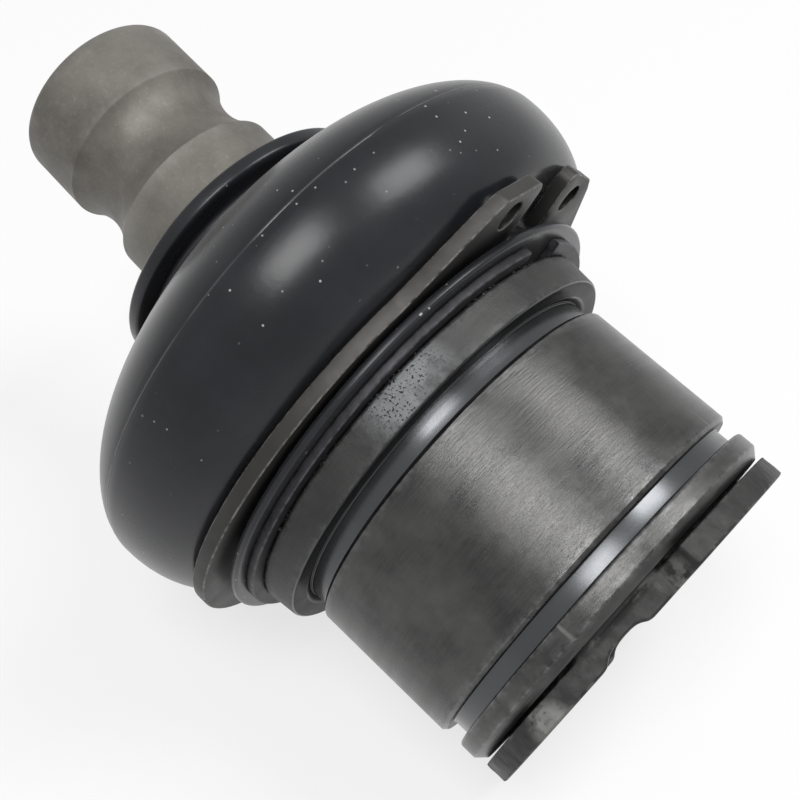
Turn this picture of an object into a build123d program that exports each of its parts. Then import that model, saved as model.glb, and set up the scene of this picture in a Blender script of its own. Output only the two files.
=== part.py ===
from build123d import *
import os
from math import cos, radians, sin, sqrt

# Suspension ball joint, millimetres. The origin is the ball's centre, Z is the housing's axis and the stud
# points up. The flange's underside, where the joint seats on the suspension arm, faces down.

# Housing, heights above the ball's centre
flange_base = 2.5
flange_thickness = 2.9
flange_radius = 17.9
flange_lower_radius = 17.6
flange_rounding = 0.35
neck_radius = 15.2
neck_height = 2.6
bead_groove_radius = 14.5
bead_groove_height = 0.9
bead_groove_drop = 0.7
relief_radius = 15.4
relief_length = 1.6
relief_undercut = 0.3
seat_margin = 0.1
body_radius = 16.0
body_length = 12.8
edge_chamfer = 0.3
ring_groove_radius = 14.9
ring_groove_width = 1.4
lip_radius = 15.85
lip_height = 2.2
lip_bevel = 0.75
mouth_radius = 10.5

# Ball, seats and preload
ball_radius = 11.5
ball_flat_radius = 3.6
seat_clearance = 0.05
seat_wall = 1.3
seat_top = 6.2
seat_seam = 0.2
seat_floor = 1.45
grease_hole_radius = 3.0
grease_groove_count = 4
grease_groove_width = 1.6
grease_groove_depth = 0.4
grease_groove_top = -2.0
disc_thickness = 0.8
disc_hole_radius = 3.2
disc_rounding = 0.2
spring_thickness = 0.7
spring_cone = 0.65
spring_radius = 11.4
spring_hole_radius = 6.2
spring_clearance = 0.1
stack_gap = 0.03

# Stud, heights measured along its own axis from the ball's centre
stud_rest_lean = 3.5
shank_radius = 6.0
shank_taper_base = 12.0
shank_taper_top = 22.0
collar_radius = 8.1
bolt_groove_radius = 5.6
bolt_groove_height = 38.05
bolt_groove_floor = 6.85
head_top = 48.2
head_rounding = 0.7
centre_hole_radius = 1.3
centre_hole_depth = 1.6

# Closing plate
plate_radius = 15.6
plate_thickness = 1.85
plate_gap = 0.25
plate_boss_height = 1.55
plate_boss_clearance = 0.03
plate_boss_rounding = 0.4
plate_dish_radius = 10.6
plate_dish_depth = 1.0
plate_dish_taper = 0.6
channel_offset = -1.5
channel_height = 0.65
channel_base_width = 7.0
channel_crown_width = 3.0
channel_inner_base = 5.0
channel_inner_crown = 2.0
flat_distance = 12.2
lobe_corner = 5.55
lobe_root = 2.9

# Boot
boot_clearance = 0.3
sleeve_wall = 1.4
skirt_radius = 19.9
skirt_gap = 0.8
skirt_thickness = 0.7
bulge_radius = 24.4
bulge_height = 15.6
bulge_rise = 8.3
bulge_heel = 4.2
bulge_drop = 7.0
bulge_shift = 1.2
boot_wall = 1.8
boot_foot_wall = 3.6
boot_crown_wall = 1.6
neck_tube_radius = 10.6
neck_shoulder = 0.3
stud_clearance = 0.25
boot_lip_reach = 1.95
boot_lip_gap = 0.45
boot_lip_thickness = 1.3
boot_lip_slope = 0.9
boot_edge_rounding = 0.4

# Rings
circlip_inner_radius = 18.1
circlip_back_width = 4.0
circlip_front_width = 2.1
circlip_thickness = 1.2
circlip_height = 8.2
circlip_lean = 2.9
circlip_facing = 60.0
circlip_gap = 5.8
lug_width = 5.6
lug_angle = 20.0
lug_step = 0.5
lug_shoulder_angle = 23.5
lug_flank_angle = 44.0
lug_rounding = 0.9
lug_hole_depth = 2.2
lug_hole_angle = 15.8
lug_hole_radius = 1.2
clamp_ring_radius = 18.9
clamp_ring_thickness = 0.7
clamp_ring_gap_facing = 58.0
clamp_ring_gap = 4.3
seat_gap = 0.02
top_ring_wire = 0.6
top_ring_rise = 1.8
top_ring_clearance = 0.05

bore_radius = ball_radius + seat_clearance + seat_wall + seat_clearance
neck_base = flange_base + flange_thickness
neck_top = neck_base + neck_height
bead_groove_top = neck_top - bead_groove_drop
body_top = flange_base - relief_length
body_bottom = body_top - body_length
lip_bottom = body_bottom - ring_groove_width - lip_height
disc_top = -ball_radius - seat_clearance - seat_floor - stack_gap
spring_top = disc_top - disc_thickness - stack_gap
plate_top = lip_bottom - plate_gap
plate_bottom = plate_top - plate_thickness
skirt_base = neck_base + skirt_gap
skirt_top = skirt_base + skirt_thickness
bulge_crown = bulge_height + bulge_rise
bulge_foot = bulge_height - bulge_drop
bulge_foot_radius = bulge_radius - bulge_heel
bulge_crown_radius = neck_tube_radius + neck_shoulder
top_ring_height = bulge_crown + top_ring_rise
boot_lip_radius = neck_tube_radius + boot_lip_reach
boot_lip_under = top_ring_height + top_ring_wire + boot_lip_gap
boot_lip_height = boot_lip_under + boot_lip_thickness
lug_reach = circlip_inner_radius + lug_width
boot_bore_radius = neck_radius + boot_clearance
sleeve_radius = boot_bore_radius + sleeve_wall


def section(corners):
    """Face in the radius and height plane from (radius, height, rounding) corners."""
    face = make_face(Polyline([(r, z) for r, z, _ in corners], close=True))
    for r, z, rounding in corners:
        if rounding > 0:
            corner = face.vertices().sort_by_distance((r, z))[0]
            face = fillet(corner, rounding)
    return face


def turned(face):
    """Solid made by turning a face in the radius and height plane about Z."""
    return revolve(Plane.XZ * face, Axis.Z)


def sphere_point(radius, height):
    """Point in the radius and height plane on a sphere round the ball's centre."""
    return sqrt(radius**2 - height**2), height


def sphere_arc(radius, low, high):
    """Arc of a sphere round the ball's centre between two heights."""
    middle = (low + high) / 2
    return ThreePointArc(sphere_point(radius, low), sphere_point(radius, middle), sphere_point(radius, high))


def leaned(solid):
    """Turn a solid about the ball's centre to the stud's leaning axis."""
    return Rot(-stud_rest_lean, 0, 0) * solid


def housing():
    """Turned housing with a flange near its top, grooves outside and the ball's cavity inside."""
    groove_bottom = body_bottom - ring_groove_width
    bead_groove_base = bead_groove_top - bead_groove_height
    outside = section(
        [
            (0, neck_top, 0),
            (neck_radius, neck_top, edge_chamfer),
            (neck_radius, bead_groove_top, 0),
            (bead_groove_radius, bead_groove_top, 0),
            (bead_groove_radius, bead_groove_base, 0),
            (neck_radius, bead_groove_base, 0),
            (neck_radius, neck_base, 0),
            (flange_radius, neck_base, flange_rounding),
            (flange_lower_radius, flange_base, flange_rounding),
            (body_radius + seat_margin, flange_base, 0),
            (relief_radius, flange_base + relief_undercut, 0),
            (relief_radius, body_top, 0),
            (body_radius - edge_chamfer, body_top, 0),
            (body_radius, body_top - edge_chamfer, 0),
            (body_radius, body_bottom + edge_chamfer, 0),
            (body_radius - edge_chamfer, body_bottom, 0),
            (ring_groove_radius, body_bottom, 0),
            (ring_groove_radius, groove_bottom, 0),
            (lip_radius, groove_bottom, edge_chamfer),
            (lip_radius, lip_bottom + lip_bevel, edge_chamfer),
            (lip_radius - lip_bevel, lip_bottom, 0),
            (0, lip_bottom, 0),
        ]
    )
    mouth = sqrt(bore_radius**2 - mouth_radius**2)
    cavity = make_face(
        [
            Line((0, lip_bottom - 1), (bore_radius, lip_bottom - 1)),
            Line((bore_radius, lip_bottom - 1), (bore_radius, 0)),
            sphere_arc(bore_radius, 0, mouth),
            Line((mouth_radius, mouth), (mouth_radius, neck_top + 1)),
            Line((mouth_radius, neck_top + 1), (0, neck_top + 1)),
            Line((0, neck_top + 1), (0, lip_bottom - 1)),
        ]
    )
    return turned(outside) - turned(cavity)


def upper_bearing_seat():
    """Liner between the housing and the ball's upper half."""
    inner = ball_radius + seat_clearance
    outer = inner + seat_wall
    face = make_face(
        [
            Line((inner, 0), (outer, 0)),
            sphere_arc(outer, 0, seat_top),
            Line(sphere_point(outer, seat_top), sphere_point(inner, seat_top)),
            sphere_arc(inner, 0, seat_top),
        ]
    )
    return turned(face)


def lower_bearing_seat():
    """Cup under the ball, with a grease hole and grease grooves in its bowl."""
    inner = ball_radius + seat_clearance
    outer = inner + seat_wall
    hole = -sqrt(inner**2 - grease_hole_radius**2)
    floor = -inner - seat_floor
    rim = sphere_point(inner, -seat_seam)
    face = make_face(
        [
            sphere_arc(inner, hole, -seat_seam),
            Line(rim, (outer, rim[1])),
            Line((outer, rim[1]), (outer, floor)),
            Line((outer, floor), (grease_hole_radius, floor)),
            Line((grease_hole_radius, floor), (grease_hole_radius, hole)),
        ]
    )
    bowl = Sphere(inner + grease_groove_depth)
    groove = Box(outer, grease_groove_width, outer, align=(Align.MIN, Align.CENTER, Align.MAX))
    groove = bowl & Pos(0, 0, grease_groove_top) * groove
    seat = turned(face)
    for arm in PolarLocations(0, grease_groove_count):
        seat -= arm * groove
    return seat


def pressure_disc():
    """Flat disc that spreads the spring's load over the cup."""
    edge = bore_radius - spring_clearance
    corners = [
        (disc_hole_radius, disc_top, 0),
        (edge, disc_top, disc_rounding),
        (edge, disc_top - disc_thickness, disc_rounding),
        (disc_hole_radius, disc_top - disc_thickness, 0),
    ]
    return turned(section(corners))


def preload_spring():
    """Coned disc spring between the pressure disc and the closing plate."""
    corners = [
        (spring_hole_radius, spring_top, 0),
        (spring_radius, spring_top - spring_cone, 0),
        (spring_radius, spring_top - spring_cone - spring_thickness, 0),
        (spring_hole_radius, spring_top - spring_thickness, 0),
    ]
    return turned(section(corners))


def channel_profile(base_width, crown_width, base):
    """Rounded hump of the pressed channel, seen along X."""
    half_base = base_width / 2
    flank = (base_width + crown_width) / 4
    middle = base + channel_height / 2
    hump = Spline(
        (channel_offset - half_base, base),
        (channel_offset - flank, middle),
        (channel_offset, base + channel_height),
        (channel_offset + flank, middle),
        (channel_offset + half_base, base),
        tangents=[(1, 0), (1, 0)],
    )
    return make_face([hump, Line(hump @ 1, hump @ 0)])


def plate_outline():
    """Disc with a flat cut beside each end of the channel."""
    corner_x = sqrt(plate_radius**2 - lobe_corner**2)
    cut = make_face(
        Polyline(
            (flat_distance, -plate_radius),
            (flat_distance, lobe_root),
            (corner_x, lobe_corner),
            (corner_x + plate_radius, lobe_corner),
            (corner_x + plate_radius, -plate_radius),
            close=True,
        )
    )
    return Circle(plate_radius) - cut - Rot(0, 0, 180) * cut


def closing_plate():
    """Stamped plate with a pressed channel across it and a hollow boss that closes the bore."""
    outline = Pos(0, 0, plate_bottom) * plate_outline()
    hump = channel_profile(channel_base_width, channel_crown_width, plate_top)
    hollow = channel_profile(channel_inner_base, channel_inner_crown, plate_bottom)
    ridge = extrude(Plane.YZ * hump, 2 * plate_radius, both=True)
    slot = extrude(Plane.YZ * hollow, 2 * plate_radius, both=True)
    blank = extrude(outline, plate_thickness + channel_height)
    boss_radius = bore_radius - plate_boss_clearance
    boss = section(
        [
            (0, plate_top, 0),
            (boss_radius, plate_top, 0),
            (boss_radius, plate_top + plate_boss_height, plate_boss_rounding),
            (0, plate_top + plate_boss_height, 0),
        ]
    )
    spring_seat = spring_top - spring_cone - spring_thickness - stack_gap
    pocket = Pos(0, 0, spring_seat) * Cylinder(
        spring_radius + spring_clearance,
        plate_boss_height,
        align=(Align.CENTER, Align.CENTER, Align.MIN),
    )
    dish = section(
        [
            (0, plate_bottom, 0),
            (plate_dish_radius, plate_bottom, 0),
            (plate_dish_radius - plate_dish_taper, plate_bottom + plate_dish_depth, 0),
            (0, plate_bottom + plate_dish_depth, 0),
        ]
    )
    plate = extrude(outline, plate_thickness) + (ridge & blank) + turned(boss)
    return plate - pocket - slot - turned(dish)


def ball_stud():
    """Forged stud: ball with a flat, shank, collar, round bolt groove and head."""
    flat = -sqrt(ball_radius**2 - ball_flat_radius**2)
    join = sqrt(ball_radius**2 - shank_radius**2)
    centre = bolt_groove_floor + bolt_groove_radius
    half = sqrt(bolt_groove_radius**2 - (centre - collar_radius) ** 2)
    groove_low = (collar_radius, bolt_groove_height - half)
    groove_high = (collar_radius, bolt_groove_height + half)
    slant = head_rounding * (1 - sin(radians(45)))
    end_low = (collar_radius, head_top - head_rounding)
    end_middle = (collar_radius - slant, head_top - slant)
    end_high = (collar_radius - head_rounding, head_top)
    face = make_face(
        [
            Line((0, flat), (ball_flat_radius, flat)),
            ThreePointArc((ball_flat_radius, flat), (ball_radius, 0), (shank_radius, join)),
            Line((shank_radius, join), (shank_radius, shank_taper_base)),
            Line((shank_radius, shank_taper_base), (collar_radius, shank_taper_top)),
            Line((collar_radius, shank_taper_top), groove_low),
            ThreePointArc(groove_low, (bolt_groove_floor, bolt_groove_height), groove_high),
            Line(groove_high, end_low),
            ThreePointArc(end_low, end_middle, end_high),
            Line(end_high, (centre_hole_radius, head_top)),
            Line((centre_hole_radius, head_top), (0, head_top - centre_hole_depth)),
            Line((0, head_top - centre_hole_depth), (0, flat)),
        ]
    )
    return leaned(turned(face))


def bulge(side_radius, crown, foot):
    """Boot's bulge or its hollow, flat at its foot and pushed to the side the stud leans to."""
    top = (bulge_crown_radius, crown)
    side = (side_radius, bulge_height)
    heel = (bulge_foot_radius, foot)
    slant = sqrt(0.5)
    shoulder_point = (
        bulge_crown_radius + (side_radius - bulge_crown_radius) * slant,
        bulge_height + (crown - bulge_height) * slant,
    )
    flank_point = (
        bulge_foot_radius + (side_radius - bulge_foot_radius) * slant,
        bulge_height + (foot - bulge_height) * slant,
    )
    face = make_face(
        [
            Line((0, crown), top),
            Spline(top, shoulder_point, side, tangents=[(1, 0), (0, -1)]),
            Spline(side, flank_point, heel, tangents=[(0, -1), (-1, 0)]),
            Line(heel, (0, foot)),
            Line((0, foot), (0, crown)),
        ]
    )
    return Pos(0, bulge_shift, 0) * turned(face)


def tube(radius, low, high):
    """Solid cylinder on the housing's axis between two heights."""
    return Pos(0, 0, low) * Cylinder(radius, high - low, align=(Align.CENTER, Align.CENTER, Align.MIN))


def circlip_space():
    """Space round the boot's waist for the stored snap ring: level below, tilted with the ring above."""
    depth = 2 * bulge_drop
    roof = circlip_thickness + boot_clearance
    space = circlip_place(Pos(0, 0, roof - depth / 2) * Cylinder(2 * bulge_radius, depth))
    floor = Pos(0, 0, skirt_top - depth) * Cylinder(3 * bulge_radius, 2 * depth)
    return space - floor - Cylinder(sleeve_radius, 4 * bulge_height)


def boot():
    """Rubber boot: skirt and sleeve round the housing's neck, hollow bulge, lip that leans with the stud."""
    skirt = section(
        [
            (0, skirt_base, 0),
            (skirt_radius, skirt_base, skirt_thickness / 3),
            (skirt_radius, skirt_top, skirt_thickness / 3),
            (0, skirt_top, 0),
        ]
    )
    foot = bulge_foot + boot_foot_wall
    tube_base = bulge_crown - boot_crown_wall
    outer = bulge(bulge_radius, bulge_crown, bulge_foot) + tube(sleeve_radius, skirt_base, foot)
    inner = bulge(bulge_radius - boot_wall, tube_base, foot)
    inner += tube(boot_bore_radius, neck_top, bulge_height)
    bead_radius = bead_groove_radius + boot_clearance / 2
    bead_low = bead_groove_top - bead_groove_height + boot_clearance / 2
    bead_high = bead_groove_top - boot_clearance / 2
    socket = section(
        [
            (0, skirt_base - 1, 0),
            (boot_bore_radius, skirt_base - 1, 0),
            (boot_bore_radius, bead_low, 0),
            (bead_radius, bead_low, 0),
            (bead_radius, bead_high, 0),
            (boot_bore_radius, bead_high, 0),
            (boot_bore_radius, neck_top + boot_clearance, 0),
            (0, neck_top + boot_clearance, 0),
        ]
    )
    neck = section(
        [
            (0, tube_base, 0),
            (neck_tube_radius, tube_base, 0),
            (neck_tube_radius, boot_lip_under, boot_edge_rounding),
            (boot_lip_radius, boot_lip_under, boot_edge_rounding),
            (boot_lip_radius, boot_lip_height, boot_edge_rounding),
            (0, boot_lip_height + boot_lip_slope, 0),
        ]
    )
    valley_floor = top_ring_height - top_ring_wire - top_ring_clearance
    valley_wall = neck_tube_radius + 2 * (top_ring_wire + top_ring_clearance)
    valley = section(
        [
            (neck_tube_radius, valley_floor, 0),
            (valley_wall, valley_floor, 0),
            (valley_wall + top_ring_wire, boot_lip_under, 0),
            (neck_tube_radius, boot_lip_under, 0),
        ]
    )
    bore = Cylinder(
        collar_radius + stud_clearance,
        boot_lip_height,
        align=(Align.CENTER, Align.CENTER, Align.MIN),
    )
    shell = outer + turned(skirt) - circlip_space() + leaned(turned(neck)) - leaned(turned(valley))
    return shell - inner - turned(socket) - leaned(Pos(0, 0, tube_base - boot_wall) * bore)


def boot_top_ring():
    """Wire ring in the valley that holds the boot's neck to the stud."""
    ring = Torus(neck_tube_radius + top_ring_clearance + top_ring_wire, top_ring_wire)
    return leaned(Pos(0, 0, top_ring_height) * ring)


def boot_clamp_ring():
    """Flat open ring on the flange under the boot's skirt."""
    inner = neck_radius + boot_clearance / 2
    gap = Box(clamp_ring_radius, clamp_ring_gap, 1, align=(Align.MIN, Align.CENTER, Align.CENTER))
    ring = extrude(Circle(clamp_ring_radius) - Circle(inner), clamp_ring_thickness)
    ring -= Rot(0, 0, clamp_ring_gap_facing) * Pos(0, 0, clamp_ring_thickness / 2) * gap
    return Pos(0, 0, neck_base + seat_gap) * ring


def circlip_place(solid):
    """Put a solid built round the snap ring's own axis at the ring's tilted place."""
    return Pos(0, 0, circlip_height) * Rot(0, circlip_lean, 0) * solid


def around(radius, angle):
    """Point at a radius and an angle in degrees from X."""
    return radius * cos(radians(angle)), radius * sin(radians(angle))


def circlip_lug():
    """Lug of the snap ring: straight flank, shoulder, outer edge and rounded corners."""
    side = circlip_gap / 2
    tip = (sqrt(lug_reach**2 - side**2), side)
    heel = around(lug_reach, lug_angle)
    shoulder = around(lug_reach - lug_step, lug_shoulder_angle)
    root = around(circlip_inner_radius + circlip_front_width, lug_flank_angle)
    lug = make_face(Polyline((circlip_inner_radius, side), tip, heel, shoulder, root, close=True))
    corners = [lug.vertices().sort_by_distance(point)[0] for point in (tip, heel)]
    return fillet(corners, lug_rounding)


def retaining_circlip():
    """External snap ring: eccentric rim, narrower towards its two lugs with plier holes."""
    outer = circlip_inner_radius + (circlip_back_width + circlip_front_width) / 2
    offset = (circlip_back_width - circlip_front_width) / 2
    lug = circlip_lug()
    hole = Pos(*around(lug_reach - lug_hole_depth, lug_hole_angle)) * Circle(lug_hole_radius)
    ring = Pos(-offset, 0) * Circle(outer) + lug + mirror(lug, Plane.XZ)
    ring -= Circle(circlip_inner_radius)
    ring -= Pos(outer, 0) * Rectangle(outer, circlip_gap)
    ring -= hole + mirror(hole, Plane.XZ)
    return circlip_place(Rot(0, 0, circlip_facing) * extrude(ring, circlip_thickness))


MAKERS = [
    housing,
    closing_plate,
    ball_stud,
    upper_bearing_seat,
    lower_bearing_seat,
    pressure_disc,
    preload_spring,
    boot,
    boot_top_ring,
    boot_clamp_ring,
    retaining_circlip,
]

os.makedirs("parts", exist_ok=True)
for maker in MAKERS:
    export_step(maker(), f"parts/{maker.__name__}.step")
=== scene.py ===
"""Suspension ball joint: fine meshes, finishes, floor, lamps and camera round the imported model."""

import logging
import math
from dataclasses import dataclass
from enum import Enum
from functools import reduce
from typing import Callable, Optional, Sequence

import bmesh
import bpy
from mathutils import Matrix, Vector, noise


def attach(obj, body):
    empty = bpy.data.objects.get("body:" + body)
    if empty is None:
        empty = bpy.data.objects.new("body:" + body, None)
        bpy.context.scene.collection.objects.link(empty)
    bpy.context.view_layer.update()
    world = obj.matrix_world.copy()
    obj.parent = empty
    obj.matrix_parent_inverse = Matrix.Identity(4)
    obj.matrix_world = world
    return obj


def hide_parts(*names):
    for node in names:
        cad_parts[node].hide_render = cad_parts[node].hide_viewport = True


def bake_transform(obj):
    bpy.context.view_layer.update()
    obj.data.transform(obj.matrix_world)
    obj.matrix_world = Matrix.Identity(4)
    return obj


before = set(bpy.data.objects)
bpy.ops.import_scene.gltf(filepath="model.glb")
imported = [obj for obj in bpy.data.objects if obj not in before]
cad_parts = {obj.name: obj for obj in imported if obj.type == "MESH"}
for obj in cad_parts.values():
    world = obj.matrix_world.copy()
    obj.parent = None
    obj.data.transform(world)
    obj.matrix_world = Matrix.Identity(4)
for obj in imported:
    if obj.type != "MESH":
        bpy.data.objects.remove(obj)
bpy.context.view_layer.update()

LOG = logging.getLogger("ball_joint")
MM = 0.001
REST_LEAN = math.radians(3.5)
HOUSING_BODY = "housing_body"
SWING_BODY = "swing_body"
STUD_BODY = "stud_body"

EDGE_SHARE = 0.49  # the most that one rounding takes of an edge
ON_AXIS = 1e-6  # radius under which a station lies on the axis
QUARTER = math.pi / 2
NOISE_LOW, NOISE_HIGH = 0.3, 0.7  # where most of a cloud's values lie

Point = tuple[float, float]
Place = tuple[float, float, float]
Colour = tuple[float, float, float]
Socket = bpy.types.NodeSocket
Material = bpy.types.Material
Mesh = bpy.types.Mesh
Node = bpy.types.Node
Thing = bpy.types.Object


class Wear(Enum):
    """How strongly a corner of a turned profile is rubbed bright."""

    NONE = 0.0
    LIGHT = 0.35


@dataclass(frozen=True)
class Corner:
    """One corner of a turned profile, in millimetres.

    Attributes:
        radius: Distance from the axis.
        height: Height above the ball's centre.
        rounding: Radius of the rounded corner.
        wear: How bright the corner's edge is rubbed.
    """

    radius: float
    height: float
    rounding: float = 0.0
    wear: Wear = Wear.NONE


@dataclass(frozen=True)
class Station:
    """A point of a finished profile with its share of edge wear."""

    radius: float
    height: float
    wear: float = 0.0


def corner_stations(before: Corner, corner: Corner, after: Corner, steps: int) -> list[Station]:
    """Round one corner of a profile.

    Args:
        before: The corner ahead of it.
        corner: The corner to round.
        after: The corner behind it.
        steps: Number of steps along the arc.

    Returns:
        The stations of the arc, or the corner itself when it is sharp.
    """
    here = Vector((corner.radius, corner.height))
    if corner.rounding <= 0:
        return [Station(here.x, here.y, corner.wear.value)]
    back = Vector((before.radius, before.height)) - here
    on = Vector((after.radius, after.height)) - here
    angle = back.angle(on)
    reach = min(corner.rounding / math.tan(angle / 2), EDGE_SHARE * back.length, EDGE_SHARE * on.length)
    arc_radius = reach * math.tan(angle / 2)
    bisector = (back.normalized() + on.normalized()).normalized()
    centre = here + bisector * (arc_radius / math.sin(angle / 2))
    first = here + back.normalized() * reach - centre
    last = here + on.normalized() * reach - centre
    sweep = first.angle_signed(last)
    stations = []
    for index in range(steps + 1):
        share = index / steps
        turned = Matrix.Rotation(-sweep * share, 2) @ first
        point = centre + turned
        fade = math.sin(math.pi * (0.15 + 0.7 * share))
        stations.append(Station(point.x, point.y, corner.wear.value * fade))
    return stations


def profile_stations(corners: Sequence[Corner], steps: int = 5, pitch: float = 1.2) -> list[Station]:
    """Turn profile corners into a dense line of stations.

    Args:
        corners: The profile's corners in order, of which the first and last stay sharp.
        steps: Steps in each rounded corner.
        pitch: Longest distance between two stations, in millimetres.

    Returns:
        The stations in order.
    """
    first, last = corners[0], corners[-1]
    raw = [Station(first.radius, first.height, first.wear.value)]
    for before, corner, after in zip(corners, corners[1:], corners[2:]):
        raw += corner_stations(before, corner, after, steps)
    raw.append(Station(last.radius, last.height, last.wear.value))
    dense = raw[:1]
    for start, end in zip(raw, raw[1:]):
        length = math.hypot(end.radius - start.radius, end.height - start.height)
        parts = max(1, math.ceil(length / pitch))
        for part in range(1, parts + 1):
            share = part / parts
            radius = start.radius + (end.radius - start.radius) * share
            height = start.height + (end.height - start.height) * share
            dense.append(Station(radius, height, end.wear if part == parts else 0.0))
    return dense


def arc(centre: Point, axes: Point, turn: Point, steps: int, fullness: float = 1.0) -> list[Station]:
    """Stations along part of an ellipse, or of a leaner curve.

    Args:
        centre: Centre in radius and height.
        axes: The two half axes.
        turn: First and last angle in radians.
        steps: Number of steps.
        fullness: 1 for an ellipse, more for a leaner shoulder.

    Returns:
        The stations.
    """
    line = []
    for index in range(steps + 1):
        angle = turn[0] + (turn[1] - turn[0]) * index / steps
        across = math.copysign(abs(math.cos(angle)) ** fullness, math.cos(angle))
        up = math.copysign(abs(math.sin(angle)) ** fullness, math.sin(angle))
        line.append(Station(centre[0] + axes[0] * across, centre[1] + axes[1] * up))
    return line


Shaper = Callable[[float, Station], Point]
Placer = Callable[[Vector], Vector]


def leaned(point: Vector) -> Vector:
    """Turn a point in millimetres about the ball's centre to the stud's leaning axis."""
    return Matrix.Rotation(-REST_LEAN, 3, "X") @ point


def smooth_step(value: float, low: float, high: float) -> float:
    """Rise smoothly from 0 to 1 between two values."""
    share = min(max((value - low) / (high - low), 0.0), 1.0)
    return share * share * (3 - 2 * share)


def upright(point: Vector) -> Vector:
    """Leave a point where it is, on the housing's axis."""
    return point


@dataclass
class Lathe:
    """Turns a profile about the axis into a closed mesh.

    Attributes:
        segments: Number of steps round the axis.
        placer: Moves each turned point to its final place.
        shaper: Gives small changes of radius and height at an angle and station.
    """

    segments: int = 256
    placer: Placer = upright
    shaper: Optional[Shaper] = None

    def mesh(self, name: str, stations: Sequence[Station], closed: bool) -> Mesh:
        """Build the turned mesh.

        Args:
            name: Name of the mesh.
            stations: The profile's stations.
            closed: True when the profile is a ring's closed section.

        Returns:
            The mesh in metres with a point attribute called edge_wear.
        """
        verts: list[Vector] = []
        wear: list[float] = []
        rows: list[list[int]] = []
        for station in stations:
            if station.radius < ON_AXIS:
                rows.append([len(verts)] * self.segments)
                verts.append(self.placer(Vector((0, 0, station.height))) * MM)
                wear.append(station.wear)
                continue
            row = []
            for step in range(self.segments):
                angle = math.tau * step / self.segments
                radius, height = station.radius, station.height
                if self.shaper:
                    more_radius, more_height = self.shaper(angle, station)
                    radius, height = radius + more_radius, height + more_height
                row.append(len(verts))
                point = Vector((radius * math.cos(angle), radius * math.sin(angle), height))
                verts.append(self.placer(point) * MM)
                wear.append(station.wear)
            rows.append(row)
        pairs = list(zip(rows, rows[1:]))
        if closed:
            pairs.append((rows[-1], rows[0]))
        faces = []
        for low, high in pairs:
            for step in range(self.segments):
                after = (step + 1) % self.segments
                loop = [low[step], low[after], high[after], high[step]]
                unique = list(dict.fromkeys(loop))
                if len(unique) > 2:
                    faces.append(unique)
        mesh = bpy.data.meshes.new(name)
        mesh.from_pydata(verts, [], faces)
        mesh.attributes.new("edge_wear", "FLOAT", "POINT").data.foreach_set("value", wear)
        return mesh


def finish_mesh(mesh: Mesh, sharp_degrees: float = 40.0) -> Mesh:
    """Point the faces outwards and shade them smooth up to a sharp angle.

    Args:
        mesh: The mesh to finish.
        sharp_degrees: Edges that fold by more than this stay sharp.

    Returns:
        The same mesh.
    """
    work = bmesh.new()
    work.from_mesh(mesh)
    bmesh.ops.recalc_face_normals(work, faces=work.faces)
    if work.calc_volume(signed=True) < 0:
        bmesh.ops.reverse_faces(work, faces=work.faces)
    work.to_mesh(mesh)
    work.free()
    mesh.shade_smooth()
    mesh.set_sharp_from_angle(angle=math.radians(sharp_degrees))
    mesh.validate()
    return mesh


def linked(name: str, data: bpy.types.ID) -> Thing:
    """Put a new object with its data in the scene."""
    thing = bpy.data.objects.new(name, data)
    bpy.context.scene.collection.objects.link(thing)
    return thing


def dress(mesh: Mesh, finish: Material) -> Mesh:
    """Give a mesh one finish in place of any other."""
    mesh.materials.clear()
    mesh.materials.append(finish)
    return mesh


def worked(name: str, mesh: Mesh, arrange: Callable[[Thing], None]) -> Mesh:
    """Run modifiers on a mesh.

    Args:
        name: Name of the result.
        mesh: The mesh to work on.
        arrange: Adds the modifiers to the object that carries the mesh.

    Returns:
        A plain mesh.
    """
    carrier = linked(name + "_carrier", mesh)
    arrange(carrier)
    graph = bpy.context.evaluated_depsgraph_get()
    result = bpy.data.meshes.new_from_object(carrier.evaluated_get(graph), depsgraph=graph)
    result.name = name
    bpy.data.objects.remove(carrier)
    return result


def add_piece(name: str, mesh: Mesh, finish: Material) -> Thing:
    """Put a mesh in the scene as a piece at the origin.

    Args:
        name: Name of the piece.
        mesh: Its mesh in metres.
        finish: Its material.

    Returns:
        The new object.
    """
    return linked(name, dress(mesh, finish))


def settle(piece: Thing, body: str, node: str) -> None:
    """Let a piece ride on a body in place of a CAD node.

    Args:
        piece: The finished piece.
        body: The body that it moves with.
        node: The CAD node that it stands for.
    """
    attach(piece, body)
    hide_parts(node)
    LOG.info("%s: %d faces on %s", piece.name, len(piece.data.polygons), body)


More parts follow.
